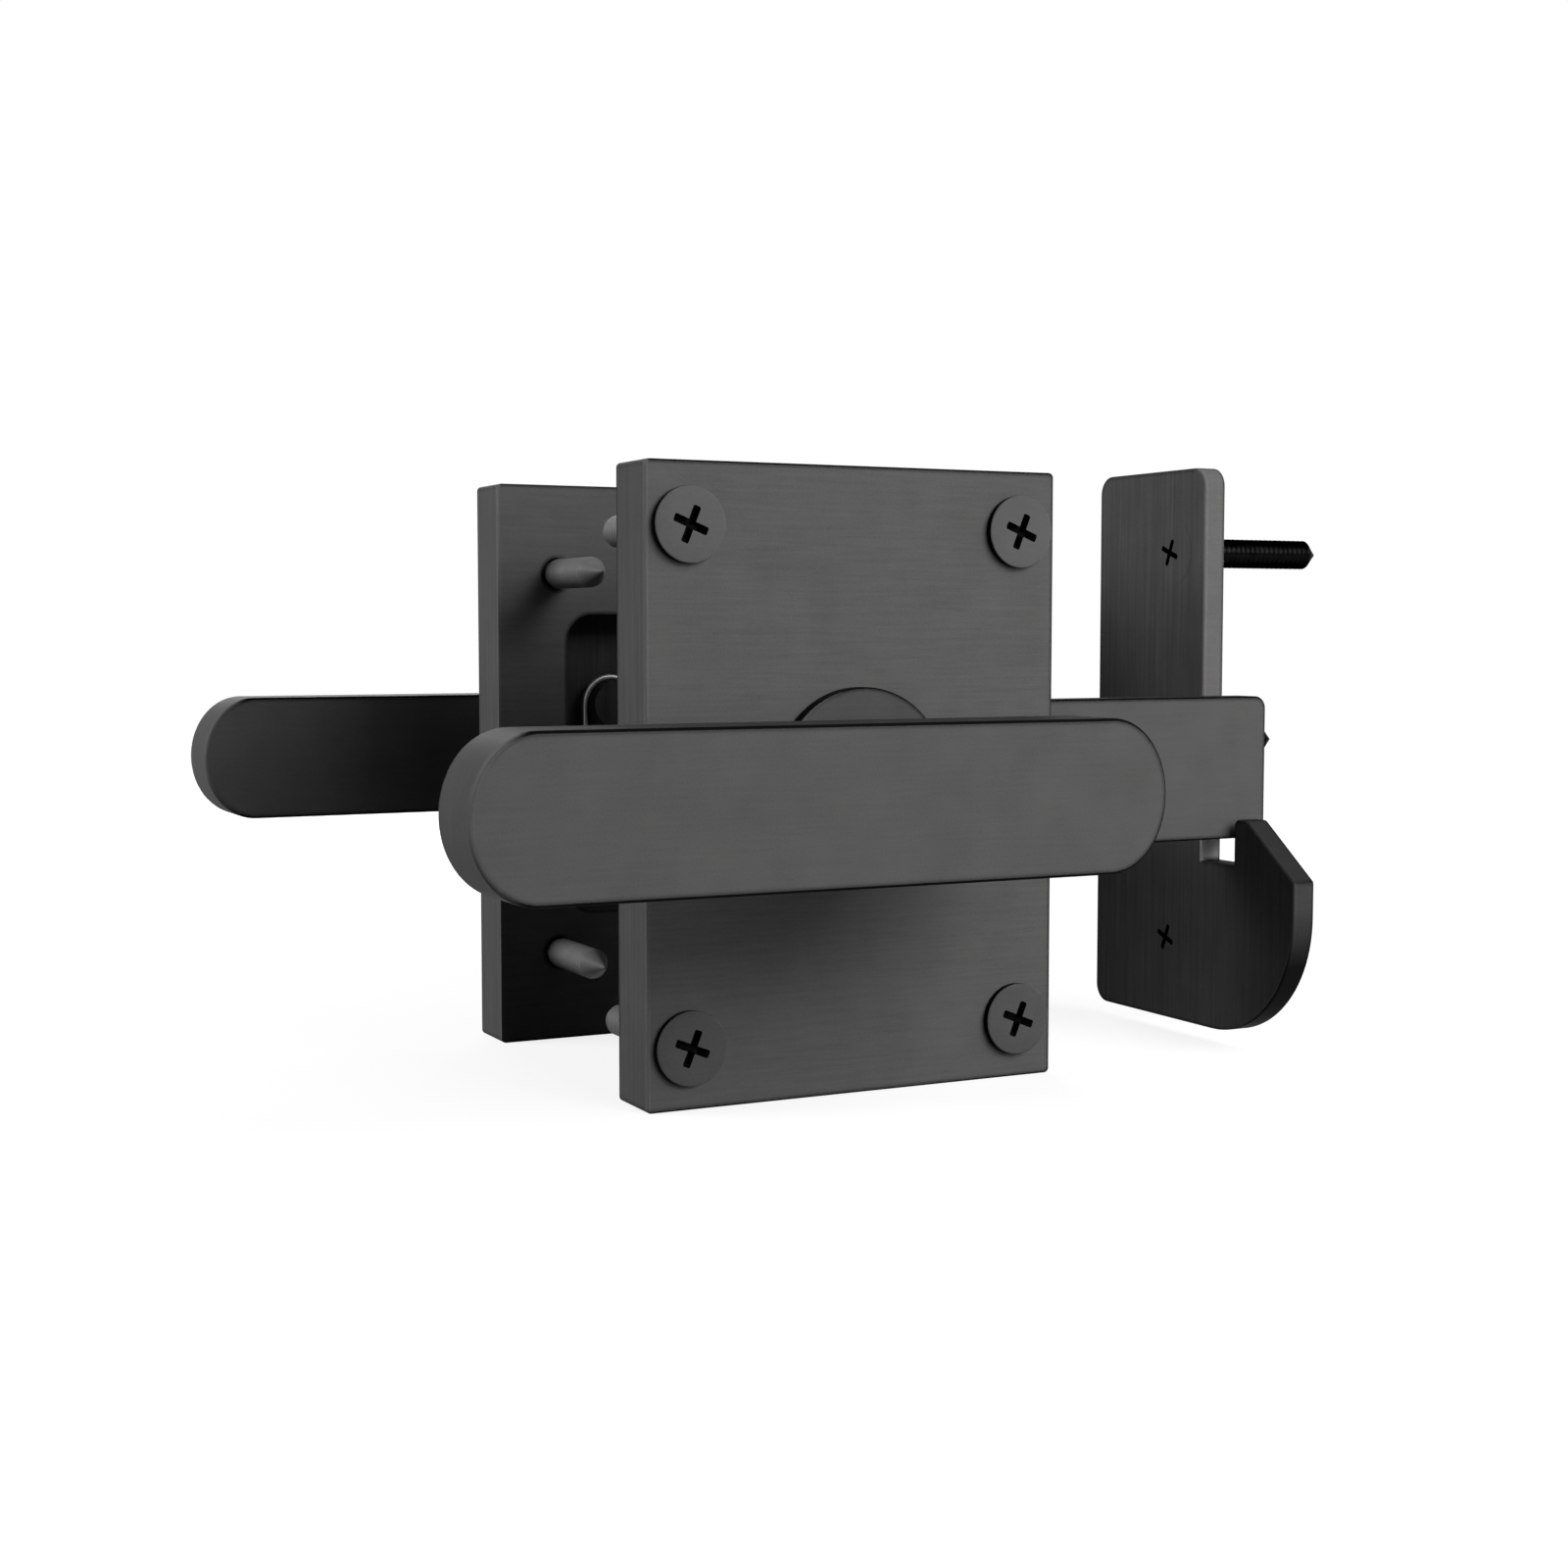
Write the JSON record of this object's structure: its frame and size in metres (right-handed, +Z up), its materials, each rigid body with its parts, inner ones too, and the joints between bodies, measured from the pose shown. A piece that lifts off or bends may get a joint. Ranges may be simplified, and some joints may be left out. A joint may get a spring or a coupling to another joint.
{
  "type": "gate latch",
  "caption": "Gate latch with a lever handle on each face of the gate, a pivoting latch bar and a hooked strike for the post.",
  "frame": {"origin": "on the spindle's axis in the plane of the gate's front face", "axes": "+X along the latch bar towards the post, +Y through the gate from front to back, +Z up"},
  "size_m": [0.2269, 0.1983, 0.1236],
  "materials": {
    "plate_coat": "satin anthracite coat over a fine brushed grain",
    "steel_coat": "satin anthracite coat on flat steel",
    "screw_coat": "dark satin coat on wood screws",
    "zinc_steel": "dull zinc plating",
    "black_steel": "black oxide",
    "spring_wire": "bright drawn spring wire",
    "nylon": "black nylon"
  },
  "bodies": {
    "fixed": {"front_plate": "plate_coat", "rear_plate": "plate_coat", "front_bush": "steel_coat", "rear_bush": "steel_coat", "front_neck_washer": "nylon", "rear_neck_washer": "nylon", "return_spring": "spring_wire", "strike_plate": "steel_coat", "front_plate_screw_1": "screw_coat", "front_plate_screw_2": "screw_coat", "front_plate_screw_3": "screw_coat", "front_plate_screw_4": "screw_coat", "rear_plate_screw_1": "screw_coat", "rear_plate_screw_2": "screw_coat", "rear_plate_screw_3": "screw_coat", "rear_plate_screw_4": "screw_coat", "strike_screw_1": "screw_coat", "strike_screw_2": "screw_coat", "strike_screw_3": "screw_coat"},
    "lever": {"front_handle": "plate_coat", "rear_handle": "plate_coat", "spindle": "zinc_steel", "latch_bar": "steel_coat", "bar_hub": "zinc_steel", "hub_grub_screw": "black_steel", "front_grub_screw": "black_steel", "rear_grub_screw": "black_steel", "rear_circlip": "black_steel", "spring_carrier": "zinc_steel"}
  },
  "joints": [
    {"name": "latch_turn", "type": "hinge", "parent": "fixed", "child": "lever", "pos_m": [0, 0, 0], "axis": [0, -1, 0], "range_deg": [0, 14], "stiffness_Nm_per_rad": 0.16, "springref_deg": -42.97, "deforming": ["return_spring"]}
  ]
}
